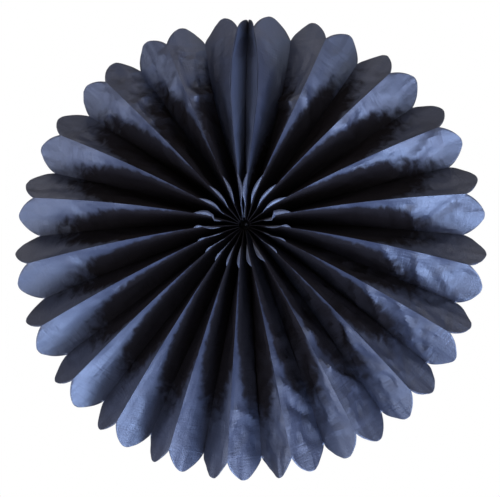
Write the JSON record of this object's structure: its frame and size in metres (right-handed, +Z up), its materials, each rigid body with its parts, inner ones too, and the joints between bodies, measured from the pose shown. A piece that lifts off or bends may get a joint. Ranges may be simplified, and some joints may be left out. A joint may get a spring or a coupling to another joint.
{
  "type": "paper fan rosette",
  "caption": "Round hanging decoration: a strip of dark tissue folded like an accordion and opened into a full circle, with die-cut petals at the rim, joined at a stiffened seam.",
  "frame": {"origin": "middle of the hub, halfway between the planes of the mountain folds and the valley folds", "axes": "-Y out of the front of the rosette, +Y towards the wall behind it, +Z up towards the seam, +X to the right seen from the front"},
  "size_m": [0.398, 0.045, 0.401],
  "materials": {
    "tissue": "soft satin sheen, mottled dark blue-grey tissue",
    "card": "satin, dark grey card",
    "tape": "milky adhesive tape",
    "thread": "twisted cotton thread"
  },
  "bodies": {
    "root": {"tissue_pleats": "tissue", "end_card_right": "card", "end_card_left": "card", "seam_tape": "tape", "hub_thread": "thread"}
  },
  "joints": []
}
